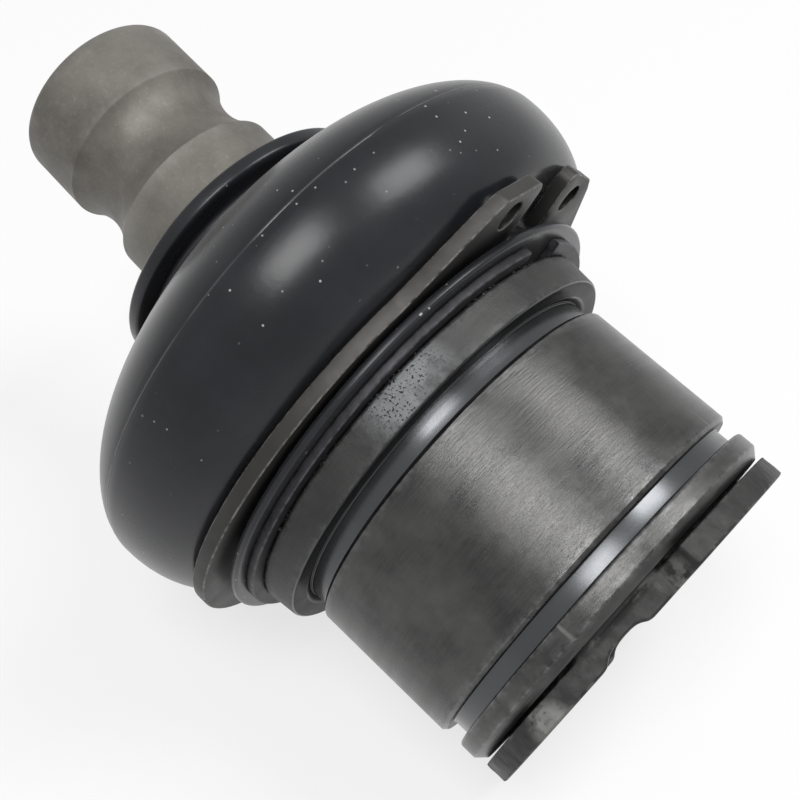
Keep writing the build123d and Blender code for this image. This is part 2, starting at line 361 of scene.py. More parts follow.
@dataclass(frozen=True)
class FlatPart:
    """A flat part cut from sheet, with rounded edges.

    Attributes:
        outline: Points of the outer edge in order, anticlockwise, in millimetres.
        holes: Points of each hole's edge in order, anticlockwise.
        thickness: Thickness of the sheet.
        rounding: Radius of its edges.
    """

    outline: Sequence[Point]
    holes: Sequence[Sequence[Point]]
    thickness: float
    rounding: float

    def inset(self, loop: Sequence[Point], amount: float) -> list[Point]:
        """Move a loop to its left side, which is inside for an anticlockwise one."""
        moved = []
        count = len(loop)
        for index, (x, y) in enumerate(loop):
            ahead, behind = loop[(index + 1) % count], loop[index - 1]
            along = Vector((ahead[0] - behind[0], ahead[1] - behind[1])).normalized()
            moved.append((x - along.y * amount, y + along.x * amount))
        return moved

    def levels(self, steps: int = 4) -> list[tuple[float, float, float]]:
        """Inset, height and wear of each level from the underside to the upper side."""
        half = []
        for index in range(steps + 1):
            angle = math.pi / 2 * index / steps
            inset = self.rounding * (1 - math.sin(angle))
            half.append((inset, self.rounding * (1 - math.cos(angle)), math.sin(2 * angle)))
        return half + [(inset, self.thickness - height, wear) for inset, height, wear in reversed(half)]

    def mesh(self, name: str, placer: Placer) -> Mesh:
        """Build the part.

        Args:
            name: Name of the mesh.
            placer: Moves each point to its final place.

        Returns:
            The mesh in metres with a point attribute called edge_wear.
        """
        work = bmesh.new()
        wear_layer = work.verts.layers.float.new("edge_wear")
        loops = [(list(self.outline), 1.0)] + [(list(hole), -1.0) for hole in self.holes]
        levels = self.levels()
        caps: dict[int, list[bmesh.types.BMEdge]] = {0: [], len(levels) - 1: []}
        for loop, sign in loops:
            rings = []
            for inset, height, wear in levels:
                ring = []
                for x, y in self.inset(loop, sign * inset):
                    vert = work.verts.new(placer(Vector((x, y, height))) * MM)
                    vert[wear_layer] = wear
                    ring.append(vert)
                rings.append(ring)
            count = len(loop)
            for low, high in zip(rings, rings[1:]):
                for index in range(count):
                    after = (index + 1) % count
                    work.faces.new((low[index], low[after], high[after], high[index]))
            for level, edges in caps.items():
                ring = rings[level]
                edges += [work.edges.get((ring[index], ring[(index + 1) % count])) for index in range(count)]
        for edges in caps.values():
            bmesh.ops.triangle_fill(work, edges=edges, use_beauty=True)
        mesh = bpy.data.meshes.new(name)
        work.to_mesh(mesh)
        work.free()
        return mesh


class Board:
    """A node tree to lay nodes out on."""

    def __init__(self, tree: bpy.types.NodeTree) -> None:
        """Take a tree.

        Args:
            tree: The tree to work on.
        """
        self.tree = tree

    def node(self, kind: str, choices: Optional[dict] = None, *ordered: object, **named: object) -> Node:
        """Add a node.

        Args:
            kind: The node's type.
            choices: Its settings.
            ordered: Values or sockets for its first inputs.
            named: Values or sockets for inputs by name, with underscores for spaces.

        Returns:
            The node.
        """
        node = self.tree.nodes.new(kind)
        for name, value in (choices or {}).items():
            setattr(node, name, value)
        for socket, value in zip(node.inputs, ordered):
            self.feed(socket, value)
        self.set(node, **named)
        return node

    def set(self, node: Node, **named: object) -> None:
        """Feed a node's visible inputs by name, with underscores for spaces."""
        for name, value in named.items():
            label = name.replace("_", " ")
            self.feed(next(item for item in node.inputs if item.name == label and item.enabled), value)

    def feed(self, socket: Socket, value: object) -> None:
        """Link an input to a socket, or set its constant."""
        if isinstance(value, Socket):
            self.tree.links.new(value, socket)
        else:
            socket.default_value = value

    def combine(self, kind: str, *values: object) -> Socket:
        """Result of a math operation, such as ADD, on its values."""
        return self.node("ShaderNodeMath", {"operation": kind}, *values).outputs[0]

    def fold(self, kind: str, *values: object) -> Socket:
        """Values joined one after another by a math operation."""
        return reduce(lambda done, value: self.combine(kind, done, value), values)

    def product(self, *values: object) -> Socket:
        """All the values multiplied."""
        return self.fold("MULTIPLY", *values)

    def straight(self) -> Socket:
        """1 for rays that show the background: seen, mirrored or passed through."""
        path = self.node("ShaderNodeLightPath")
        rays = ("Camera", "Glossy", "Transmission")
        return self.fold("MAXIMUM", *(path.outputs[f"Is {ray} Ray"] for ray in rays))


class ShapeTree(Board):
    """A Geometry Nodes tree with named sizes."""

    def __init__(self, name: str, sizes: dict[str, float]) -> None:
        """Start the tree.

        Args:
            name: Name of the tree.
            sizes: Its inputs and their values.
        """
        super().__init__(bpy.data.node_groups.new(name, "GeometryNodeTree"))
        face = self.tree.interface
        self.values: dict[str, float] = {}
        for size, value in sizes.items():
            kind = "NodeSocketInt" if isinstance(value, int) else "NodeSocketFloat"
            self.values[face.new_socket(size, in_out="INPUT", socket_type=kind).identifier] = value
        face.new_socket("Geometry", in_out="OUTPUT", socket_type="NodeSocketGeometry")
        self.source = self.node("NodeGroupInput")

    def size(self, name: str) -> Socket:
        """One of the tree's named inputs."""
        return self.source.outputs[name]

    def raised(self, path: Socket) -> Socket:
        """A path lifted by the size called Height."""
        lift = self.node("ShaderNodeCombineXYZ", Z=self.size("Height"))
        return self.node("GeometryNodeTransform", Geometry=path, Translation=lift.outputs[0]).outputs[0]

    def scatter(self, low: float, high: float, seed: int) -> Socket:
        """Random vector for each point, each part between two values."""
        choices = {"data_type": "FLOAT_VECTOR"}
        node = self.node("FunctionNodeRandomValue", choices, Min=(low,) * 3, Max=(high,) * 3, Seed=seed)
        return next(item for item in node.outputs if item.enabled)

    def attach(self, carrier: Thing) -> None:
        """Run the tree on an object."""
        modifier = carrier.modifiers.new("nodes", "NODES")
        modifier.node_group = self.tree
        for socket, value in self.values.items():
            modifier[socket] = value

    def bake(self, name: str, finish: Material, last: Socket) -> Mesh:
        """Close the tree, run it and return its mesh.

        Args:
            name: Name of the mesh.
            finish: Material that the tree sets.
            last: Geometry to give out.

        Returns:
            A plain mesh.
        """
        real = self.node("GeometryNodeRealizeInstances", Geometry=last)
        dressed = self.node("GeometryNodeSetMaterial", Geometry=real.outputs[0], Material=finish)
        self.node("NodeGroupOutput", None, dressed.outputs[0])
        return worked(name, bpy.data.meshes.new(name + "_start"), self.attach)


class Bench(Board):
    """Lays out a material's nodes."""

    def __init__(self, name: str, **plain: object) -> None:
        """Start a material.

        Args:
            name: Name of the material.
            plain: Constants on the shader's own sockets, with underscores for spaces.
        """
        self.material = bpy.data.materials.new(name)
        self.material.use_nodes = True
        super().__init__(self.material.node_tree)
        self.tree.nodes.clear()
        self.shader = self.node("ShaderNodeBsdfPrincipled", **plain)
        self.output = self.node("ShaderNodeOutputMaterial", None, self.shader.outputs[0])
        coordinates = self.node("ShaderNodeTexCoord")
        self.place = coordinates.outputs["Object"]
        self.facing = coordinates.outputs["Normal"]

    def close(self, **values: object) -> Material:
        """Feed the shader's inputs, with underscores for spaces, and give out the material."""
        self.set(self.shader, **values)
        return self.material

    def mapped(self, scale: Place, turn: float = 0.0) -> Socket:
        """Object coordinates turned about X by radians, then scaled."""
        around_x = {"rotation_type": "X_AXIS"}
        turned = self.node("ShaderNodeVectorRotate", around_x, Vector=self.place, Angle=turn).outputs[0]
        return self.node("ShaderNodeVectorMath", {"operation": "MULTIPLY"}, turned, scale).outputs[0]

    def clouds(
        self, scale: float, detail: float = 3, roughness: float = 0.5,
        vector: Optional[Socket] = None, distortion: float = 0,
    ) -> Socket:
        """Noise between about 0 and 1.

        Args:
            scale: Cells per unit.
            detail: Octaves.
            roughness: Weight of the fine octaves.
            vector: Coordinates, or None for Object coordinates.
            distortion: Swirl.

        Returns:
            The value socket.
        """
        return self.node(
            "ShaderNodeTexNoise", Vector=vector or self.place, Scale=scale, Detail=detail,
            Roughness=roughness, Distortion=distortion,
        ).outputs["Fac"]

    def cells(self, scale: float) -> Socket:
        """Distance to the nearest cell point."""
        return self.node("ShaderNodeTexVoronoi", Vector=self.place, Scale=scale).outputs["Distance"]

    def span(self, value: Socket, low: float, high: float, to_low: float = 0, to_high: float = 1) -> Socket:
        """Map the range from low to high to another, clamped."""
        return self.node("ShaderNodeMapRange", None, value, low, high, to_low, to_high).outputs[0]

    def spread(self, cloud: Socket, to_low: float = 0.0, to_high: float = 1.0) -> Socket:
        """Map a cloud's usual range to another."""
        return self.span(cloud, NOISE_LOW, NOISE_HIGH, to_low, to_high)

    def blend(self, share: object, first: object, second: object) -> Socket:
        """Mix two colours.

        Args:
            share: Share of the second colour.
            first: First colour, a socket or three numbers.
            second: Second colour.

        Returns:
            The mixed colour.
        """
        node = self.node("ShaderNodeMix", {"data_type": "RGBA"}, share)
        for key, value in ((6, first), (7, second)):
            self.feed(node.inputs[key], value if isinstance(value, Socket) else (*value, 1.0))
        return node.outputs[2]

    def cover(self, tone: object, colour: Colour, *shares: object) -> Socket:
        """Lay a colour over a tone by the product of the shares."""
        return self.blend(self.product(*shares), tone, colour)

    def wear(self) -> Socket:
        """The mesh's own edge wear."""
        return self.node("ShaderNodeAttribute", {"attribute_name": "edge_wear"}).outputs["Fac"]

    def upwards(self, vector: Socket) -> Socket:
        """The part of a vector along the housing's axis."""
        return self.node("ShaderNodeSeparateXYZ", None, vector).outputs["Z"]

    def band(self, low: float, high: float, soft: float) -> Socket:
        """1 between two heights in millimetres and 0 outside them, with soft ends."""
        height = self.upwards(self.place)
        above = self.span(height, (low - soft) * MM, (low + soft) * MM)
        below = self.span(height, (high + soft) * MM, (high - soft) * MM)
        return self.product(above, below)

    def near(self, place: Place, reach: float, soft: float) -> Socket:
        """1 close to a point in millimetres, falling to 0 at its reach."""
        target = tuple(part * MM for part in place)
        node = self.node("ShaderNodeVectorMath", {"operation": "DISTANCE"}, self.place, target)
        return self.span(node.outputs["Value"], reach * MM, (reach - soft) * MM)

    def bump(self, value: Socket, strength: float, distance: float, under: Optional[Socket] = None) -> Socket:
        """Bump from a height, on top of another bump.

        Args:
            value: The height.
            strength: Strength of the bump.
            distance: Depth in metres.
            under: The normal below it.

        Returns:
            The normal.
        """
        sizes = {"Height": value, "Strength": strength, "Distance": distance}
        return self.node("ShaderNodeBump", **sizes, **({"Normal": under} if under else {})).outputs[0]


@dataclass(frozen=True)
class PhosphatedSteel:
    """Grey phosphate on the stud: matte, mottled, rubbed lighter on its edges."""

    dark: Colour = (0.105, 0.098, 0.085)
    light: Colour = (0.185, 0.176, 0.155)
    rubbed: Colour = (0.30, 0.29, 0.27)

    def material(self) -> Material:
        """Build the material."""
        bench = Bench("phosphated_steel", Metallic=0.45, IOR=1.6)
        mottle = bench.clouds(170, 5, 0.62)
        stains = bench.clouds(75, distortion=0.4)
        grain = bench.clouds(3200, 3, 0.7)
        rings = bench.clouds(1.0, 3, 0.6, bench.mapped((40, 40, 2600), REST_LEAN))
        tone = bench.blend(bench.span(mottle, 0.32, 0.68), self.dark, self.light)
        tone = bench.cover(tone, self.dark, bench.span(stains, 0.52, 0.72, 0, 0.5))
        tone = bench.cover(tone, self.rubbed, bench.span(grain, 0.55, 0.8, 0, 0.35))
        tone = bench.cover(tone, self.rubbed, bench.wear(), bench.span(mottle, 0.35, 0.6))
        normal = bench.bump(rings, 0.12, 0.00004, bench.bump(grain, 0.25, 0.00006))
        return bench.close(Base_Color=tone, Roughness=bench.spread(mottle, 0.62, 0.5), Normal=normal)


@dataclass(frozen=True)
class BootRubber:
    """Slate-black rubber with a soft shine, fine dust and a mould line."""

    deep: Colour = (0.008, 0.009, 0.011)
    pale: Colour = (0.020, 0.021, 0.025)
    dust: Colour = (0.45, 0.45, 0.43)
    parting: float = 16.5
    seam_half: float = 0.05

    def material(self) -> Material:
        """Build the material."""
        bench = Bench("boot_rubber", IOR=1.5, Specular_IOR_Level=0.28, Sheen_Weight=0.08, Sheen_Roughness=0.4)
        bloom = bench.clouds(110, 4, 0.55)
        grain = bench.clouds(2600, 2, 0.6)
        patches = bench.clouds(130, 2)
        tone = bench.blend(bench.spread(bloom), self.deep, self.pale)
        speck = bench.span(bench.cells(900), 0.09, 0.05)
        tone = bench.cover(tone, self.dust, speck, bench.span(patches, 0.42, 0.56), 0.9)
        line = bench.band(self.parting - self.seam_half, self.parting + self.seam_half, self.seam_half)
        seam = bench.product(line, bench.span(patches, 0.38, 0.55))
        tone = bench.cover(tone, self.dust, seam, 0.16)
        normal = bench.bump(bloom, 0.08, 0.0004, bench.bump(grain, 0.12, 0.00004))
        normal = bench.bump(seam, 0.6, 0.0001, normal)
        return bench.close(Base_Color=tone, Roughness=bench.spread(bloom, 0.24, 0.31), Normal=normal)


@dataclass(frozen=True)
class TurnedSteel:
    """Dark turned steel of the housing, with fine marks round it, bright worn edges and painted shade on the
    walls of its grooves.

    Attributes:
        relief: Heights between which the relief groove's floor is smooth.
        ring_groove: The same for the ring groove.
        flange: Heights of the flange's forged rim.
        patch: Middle of the frosted, pitted patch on that rim.
    """

    dark: Colour = (0.040, 0.040, 0.040)
    light: Colour = (0.088, 0.087, 0.085)
    bare: Colour = (0.34, 0.34, 0.34)
    # near black for the pits and for the painted shade on the groove walls
    pit_and_painted_shade_black: Colour = (0.006, 0.006, 0.006)
    groove: Colour = (0.075, 0.078, 0.082)
    frost: Colour = (0.125, 0.13, 0.133)
    shine: float = 0.85
    relief: Point = (0.9, 2.6)
    ring_groove: Point = (-13.3, -11.9)
    flange: Point = (2.6, 5.3)
    patch: Place = (17.4, 1.2, 4.0)

    def material(self) -> Material:
        """Build the material."""
        bench = Bench("turned_steel")
        lines = bench.clouds(1.0, 4, 0.7, bench.mapped((380, 380, 7000)))
        bands = bench.clouds(1.0, 2, 0.5, bench.mapped((12, 12, 900)))
        mottle = bench.clouds(240, 4, 0.6)
        scratch = bench.clouds(1.0, 2, 0.5, bench.mapped((1400, 500, 60)))
        spots = bench.clouds(900, 3, 0.7)
        pits = bench.span(bench.clouds(5200, 2, 0.6), 0.57, 0.62)
        forged = bench.band(*self.flange, 0.05)
        smooth = bench.combine("ADD", bench.band(*self.relief, 0.02), bench.band(*self.ring_groove, 0.02))
        rim = bench.band(*self.flange, 0.15)
        frosted = bench.product(bench.near(self.patch, 4.6, 2.2), rim, bench.span(mottle, 0.4, 0.52))
        # painted shade: faces that look along the axis, the walls of the grooves and steps, are picked out
        # here
        wall = bench.span(bench.combine("ABSOLUTE", bench.upwards(bench.facing)), 0.8, 0.95)
        tone = bench.blend(bench.spread(mottle), self.dark, self.light)
        tone = bench.cover(tone, self.light, bench.span(lines, 0.45, 0.75, 0, 0.5))
        tone = bench.cover(tone, self.bare, bench.span(scratch, 0.74, 0.8, 0, 0.5))
        tone = bench.cover(tone, self.bare, bench.wear(), bench.span(spots, 0.42, 0.62))
        tone = bench.cover(tone, self.dark, forged, 0.5)
        tone = bench.cover(tone, self.groove, smooth)
        tone = bench.cover(tone, self.frost, frosted)
        tone = bench.cover(tone, self.pit_and_painted_shade_black, frosted, pits)
        # painted shade: those walls are painted near black
        tone = bench.cover(tone, self.pit_and_painted_shade_black, wall, 0.9)
        rough = bench.fold(
            "ADD", bench.spread(mottle, 0.26, 0.37), bench.spread(bands, -0.03, 0.03),
            bench.product(smooth, -0.07), bench.product(forged, 0.2),
        )
        normal = bench.bump(bench.product(lines, bench.span(smooth, 0, 1, 1, 0.05)), 0.9, 0.00003)
        normal = bench.bump(bench.product(mottle, bench.span(smooth, 0, 1, 1, 0.1)), 0.06, 0.0001, normal)
        normal = bench.bump(bench.product(spots, forged), 0.5, 0.0001, normal)
        # painted shade: the walls also lose their metal and most of their shine, so they stay black
        metal = bench.span(wall, 0, 1, self.shine, 0)
        gleam = bench.span(wall, 0, 1, 0.5, 0.02)
        return bench.close(
            Base_Color=tone, Metallic=metal, Specular_IOR_Level=gleam, Roughness=rough, Normal=normal
        )


@dataclass(frozen=True)
class BlackSteel:
    """Blackened spring or sheet steel with a worn edge.

    Attributes:
        name: Name of the material.
        base: Main colour.
        bare: Colour where it is rubbed.
        roughness: Middle roughness.
    """

    name: str
    base: Colour
    bare: Colour
    roughness: float

    def material(self) -> Material:
        """Build the material."""
        bench = Bench(self.name, Metallic=0.7)
        grain = bench.clouds(1500, 4, 0.65)
        mottle = bench.clouds(220, 3, 0.55)
        light = tuple(1.7 * part for part in self.base)
        tone = bench.blend(bench.spread(mottle), self.base, light)
        tone = bench.cover(tone, self.bare, bench.wear(), bench.span(grain, 0.35, 0.6))
        rough = bench.spread(mottle, self.roughness + 0.06, self.roughness - 0.06)
        return bench.close(Base_Color=tone, Roughness=rough, Normal=bench.bump(grain, 0.3, 0.00006))


@dataclass(frozen=True)
class StampedSteel:
    """Dark sheet steel of the closing plate, dull on its torn rim, bright where the press rubbed its edges,
    and with painted reflections on two facets.
    """

    dark: Colour = (0.018, 0.018, 0.018)
    light: Colour = (0.045, 0.044, 0.043)
    bare: Colour = (0.20, 0.20, 0.19)
    # places of two facets that carry a painted reflection of the pale floor, in bare steel colour
    painted_reflection_facets: tuple[Place, ...] = ((12.6, 4.3, -16.6), (12.2, -9.0, -17.4))

    def material(self) -> Material:
        """Build the material."""
        bench = Bench("stamped_steel", Metallic=0.6)
        grain = bench.clouds(1700, 4, 0.7)
        mottle = bench.clouds(260, 4, 0.6)
        crumbs = bench.clouds(620, 3, 0.7)
        tone = bench.blend(bench.spread(mottle), self.dark, self.light)
        tone = bench.cover(tone, self.bare, bench.wear(), bench.span(crumbs, 0.52, 0.66), 0.6)
        # painted reflection: bare steel colour laid on two facets, broken up by the crumbs noise
        rubbed = bench.span(crumbs, 0.36, 0.5)
        for place in self.painted_reflection_facets:
            tone = bench.cover(tone, self.bare, bench.near(place, 1.9, 0.8), rubbed, 0.7)
        normal = bench.bump(crumbs, 0.4, 0.00015, bench.bump(grain, 0.35, 0.00006))
        return bench.close(Base_Color=tone, Roughness=bench.spread(mottle, 0.6, 0.46), Normal=normal)


@dataclass(frozen=True)
class BearingPlastic:
    """Cream moulded plastic of the two ball seats."""

    base: Colour = (0.72, 0.69, 0.60)
    shade: Colour = (0.62, 0.59, 0.50)

    def material(self) -> Material:
        """Build the material."""
        bench = Bench("bearing_plastic", IOR=1.48)
        cloud = bench.clouds(300)
        tone = bench.blend(bench.spread(cloud), self.base, self.shade)
        normal = bench.bump(bench.clouds(2400, 2), 0.1, 0.00004)
        return bench.close(Base_Color=tone, Roughness=bench.spread(cloud, 0.38, 0.5), Normal=normal)


@dataclass
class StudSet:
    """The forged stud with its ball.

    Attributes:
        ball_radius: Radius of the ball.
        ball_flat: Radius of the flat under it.
        shank_radius: Radius of the waist above the ball.
        taper_base: Height where the waist widens.
        taper_top: Height where the clamped length starts.
        collar_radius: Radius of the clamped length.
        groove_radius: Radius of the groove's arc.
        groove_height: Height of the groove's middle.
        groove_floor: Radius at the groove's bottom.
        head_top: Height of the stud's end.
        centre_hole: Radius and depth of the hole in its end.
        ball_steps: Steps along the ball.
        groove_steps: Steps along the groove.
    """

    ball_radius: float = 11.5
    ball_flat: float = 3.6
    shank_radius: float = 6.0
    taper_base: float = 12.0
    taper_top: float = 22.0
    collar_radius: float = 8.1
    groove_radius: float = 5.6
    groove_height: float = 38.05
    groove_floor: float = 6.85
    head_top: float = 48.2
    centre_hole: Point = (1.3, 1.6)
    ball_steps: int = 48
    groove_steps: int = 40

    def stations(self) -> list[Station]:
        """Profile of the stud from the ball's flat to its end."""
        line = [Station(0, -math.sqrt(self.ball_radius**2 - self.ball_flat**2))]
        end = math.acos(self.shank_radius / self.ball_radius)
        turn = (-math.acos(self.ball_flat / self.ball_radius), end)
        line += arc((0, 0), (self.ball_radius, self.ball_radius), turn, self.ball_steps)
        centre = self.groove_floor + self.groove_radius
        half = math.sqrt(self.groove_radius**2 - (centre - self.collar_radius) ** 2)
        low, high = self.groove_height - half, self.groove_height + half
        upper = [
            Corner(line[-1].radius, line[-1].height),
            Corner(self.shank_radius, self.taper_base, 1.0),
            Corner(self.collar_radius, self.taper_top, 0.8),
            Corner(self.collar_radius, low - 0.25, 0.25),
        ]
        line += profile_stations(upper)[1:-1]
        reach = math.asin(half / self.groove_radius)
        edge = Wear.LIGHT.value
        axes = (-self.groove_radius, self.groove_radius)
        groove = arc((centre, self.groove_height), axes, (-reach, reach), self.groove_steps)
        line += [Station(self.collar_radius, height, edge) for height in (low - 0.12, low)]
        line += [*groove[1:-1], Station(self.collar_radius, high, edge)]
        top = [
            Corner(self.collar_radius, high),
            Corner(self.collar_radius, self.head_top, 0.7, Wear.LIGHT),
            Corner(self.centre_hole[0], self.head_top, 0.15),
            Corner(0, self.head_top - self.centre_hole[1]),
        ]
        line += profile_stations(top)[1:]
        return line

    def build(self, finish: Material) -> None:
        """Make the stud.

        Args:
            finish: The phosphate finish.
        """
        mesh = Lathe(192, leaned).mesh("stud_body", self.stations(), False)
        settle(add_piece("stud", finish_mesh(mesh, 25), finish), STUD_BODY, "ball_stud")


@dataclass
class BootSet:
    """Rubber boot whose lip leans with the stud.

    Attributes:
        leanness: 1 for an elliptic crown, more for a leaner shoulder.
        bend_start: Height where the neck starts to lean with the stud, up to bend_end.
        bend_reach: Radius inside which it leans fully, fading over bend_fade.
        shift: How far the bulge is pushed to the leaning side, from shift_start to shift_end.
        ring_roof: Height above the snap ring that the bulge keeps, at the axis.
        ring_lean: Slope of that roof in degrees.
    """

    segments: int = 288
    skirt_radius: float = 19.9
    skirt_base: float = 6.2
    skirt_top: float = 6.9
    bore: float = 15.5
    sleeve: float = 16.9
    bulge_radius: float = 24.4
    bulge_height: float = 15.6
    crown_radius: float = 10.9
    crown_height: float = 23.9
    foot_radius: float = 20.2
    foot_height: float = 8.6
    wall: float = 1.8
    inner_rise: float = 3.6
    leanness: float = 1.1
    tube_radius: float = 10.6
    tube_bore: float = 8.35
    lip_radius: float = 12.55
    lip_top: float = 28.05
    lip_under: float = 26.75
    lip_dish: float = 0.4
    parting_height: float = 16.5
    seam_inside: float = 23.0
    seam_width: float = 0.11
    seam_depth: float = 0.05
    unevenness: float = 0.10
    bend_start: float = 21.6
    bend_end: float = 24.1
    bend_reach: float = 12.0
    bend_fade: float = 4.0
    shift: float = 1.2
    shift_start: float = 7.9
    shift_end: float = 9.3
    ring_roof: float = 9.7
    ring_lean: float = 2.9

    def place(self, point: Vector) -> Vector:
        """Push the bulge sideways, keep it off the snap ring and bend its neck to the stud's axis."""
        radius = math.hypot(point.x, point.y)
        bend = smooth_step(point.z, self.bend_start, self.bend_end)
        bend *= 1.0 - min(max((radius - self.bend_reach) / self.bend_fade, 0.0), 1.0)
        push = self.shift * smooth_step(point.z, self.shift_start, self.shift_end) * (1.0 - bend)
        placed = Matrix.Rotation(-REST_LEAN * bend, 3, "X") @ point + Vector((0, push, 0))
        if radius > self.sleeve + 0.1 and point.z > self.foot_height - 0.2:
            roof = self.ring_roof - placed.x * math.tan(math.radians(self.ring_lean))
            placed.z = max(placed.z, roof)
        return placed

    def stations(self) -> list[Station]:
        """Closed section of the boot, outside first, from the skirt upwards."""
        foot, inner_foot = self.foot_height, self.foot_height + self.inner_rise
        inner_top = self.crown_height - self.wall
        low_centre = (self.foot_radius, self.bulge_height)
        high_centre = (self.crown_radius, self.bulge_height)
        side = self.bulge_radius - self.foot_radius
        across = self.bulge_radius - self.crown_radius
        low = [
            Corner(self.bore, self.skirt_base),
            Corner(self.skirt_radius, self.skirt_base, 0.25),
            Corner(self.skirt_radius, self.skirt_top, 0.25),
            Corner(self.sleeve, self.skirt_top, 0.25),
            Corner(self.sleeve, foot, 0.3),
            Corner(self.foot_radius, foot),
        ]
        line = profile_stations(low, 4, 0.8)[:-1]
        line += arc(low_centre, (side, self.bulge_height - foot), (-QUARTER, 0), 22)
        crown = (across, self.crown_height - self.bulge_height)
        line += arc(high_centre, crown, (0, QUARTER), 44, self.leanness)[1:]
        high = [
            Corner(line[-1].radius, line[-1].height),
            Corner(self.tube_radius, self.crown_height + 0.05, 0.2),
            Corner(self.tube_radius, self.lip_under, 0.4),
            Corner(self.lip_radius, self.lip_under, 0.35),
            Corner(self.lip_radius, self.lip_top, 0.35),
            Corner(self.tube_bore, self.lip_top + self.lip_dish, 0.3),
            Corner(self.tube_bore, inner_top, 0.3),
            Corner(self.crown_radius, inner_top),
        ]
        line += profile_stations(high, 4, 0.7)[1:-1]
        inner = (across - self.wall, inner_top - self.bulge_height)
        line += arc(high_centre, inner, (QUARTER, 0), 30, self.leanness)
        inner = (side - self.wall, self.bulge_height - inner_foot)
        line += arc(low_centre, inner, (0, -QUARTER), 14)[1:]
        bottom = [
            Corner(self.foot_radius, inner_foot),
            Corner(self.bore, inner_foot, 0.3),
            Corner(self.bore, self.skirt_base),
        ]
        line += profile_stations(bottom, 4)[1:-1]
        return line

    def shape(self, angle: float, station: Station) -> Point:
        """Small unevenness of the moulded rubber and its fine parting line."""
        if station.height < self.skirt_top + 0.05 or station.height > self.crown_height:
            return 0.0, 0.0
        across, along = math.cos(angle), math.sin(angle)
        wave = noise.noise(Vector((across * 1.3, along * 1.3, station.height * 0.08)))
        broken = 0.5 + 0.5 * noise.noise(Vector((across * 9, along * 9, 3.0)))
        line = 0.0
        if station.radius > self.seam_inside:
            line = math.exp(-(((station.height - self.parting_height) / self.seam_width) ** 2))
        return self.unevenness * wave - self.seam_depth * line * (0.4 + broken), 0.0

    def build(self, finish: Material) -> Thing:
        """Make the boot.

        Args:
            finish: The rubber finish.

        Returns:
            The boot.
        """
        mesh = Lathe(self.segments, self.place, self.shape).mesh("boot_shell", self.stations(), True)
        piece = add_piece("dust_boot", finish_mesh(mesh, 60), finish)
        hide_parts("boot")
        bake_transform(piece)
        return piece


@dataclass
class HousingSet:
    """Turned housing: radii without a suffix, heights named for what they bound."""

    segments: int = 288
    mouth: float = 10.5
    neck: float = 15.2
    neck_top: float = 8.0
    boot_groove: float = 14.5
    boot_groove_top: float = 7.3
    boot_groove_foot: float = 6.4
    flange: float = 17.9
    flange_top: float = 5.4
    flange_taper: float = 0.3
    flange_foot: float = 2.5
    seat_edge: float = 16.1
    relief: float = 15.4
    relief_top: float = 2.8
    relief_foot: float = 0.9
    body: float = 16.0
    body_foot: float = -11.9
    bevel: float = 0.3
    ring_groove: float = 14.9
    ring_groove_foot: float = -13.3
    lip: float = 15.85
    lip_bevel: float = 0.75
    lip_foot: float = -15.5
    bore: float = 12.9
    bore_steps: int = 12

    def corners(self) -> list[Corner]:
        """Closed section of the housing, outside first, from the top down."""
        return [
            Corner(self.mouth, self.neck_top, 0.2),
            Corner(self.neck, self.neck_top, 0.3),
            Corner(self.neck, self.boot_groove_top),
            Corner(self.boot_groove, self.boot_groove_top),
            Corner(self.boot_groove, self.boot_groove_foot),
            Corner(self.neck, self.boot_groove_foot),
            Corner(self.neck, self.flange_top),
            Corner(self.flange, self.flange_top, 0.35, Wear.LIGHT),
            Corner(self.flange - self.flange_taper, self.flange_foot, 0.3, Wear.LIGHT),
            Corner(self.seat_edge, self.flange_foot, 0.1),
            Corner(self.relief, self.relief_top, 0.1),
            Corner(self.relief, self.relief_foot, 0.1),
            Corner(self.body - self.bevel, self.relief_foot, 0.05, Wear.LIGHT),
            Corner(self.body, self.relief_foot - self.bevel, 0.1, Wear.LIGHT),
            Corner(self.body, self.body_foot + self.bevel, 0.1, Wear.LIGHT),
            Corner(self.body - self.bevel, self.body_foot, 0.05, Wear.LIGHT),
            Corner(self.ring_groove, self.body_foot, 0.1),
            Corner(self.ring_groove, self.ring_groove_foot, 0.1),
            Corner(self.lip, self.ring_groove_foot, 0.25, Wear.LIGHT),
            Corner(self.lip, self.lip_foot + self.lip_bevel, 0.25, Wear.LIGHT),
            Corner(self.lip - self.lip_bevel, self.lip_foot, 0.15),
            Corner(self.bore, self.lip_foot, 0.15),
            Corner(self.bore, 0.0),
        ]

    def stations(self) -> list[Station]:
        """The whole section with the hollow for the ball."""
        line = profile_stations(self.corners(), 5, 0.7)
        turn = (0.0, math.acos(self.mouth / self.bore))
        return line + arc((0, 0), (self.bore, self.bore), turn, self.bore_steps)[1:]

    def build(self, finish: Material) -> None:
        """Make the housing.

        Args:
            finish: The turned steel finish.
        """
        mesh = Lathe(self.segments).mesh("housing_shell", self.stations(), True)
        piece = add_piece("turned_housing", finish_mesh(mesh, 30), finish)
        settle(piece, HOUSING_BODY, "housing")


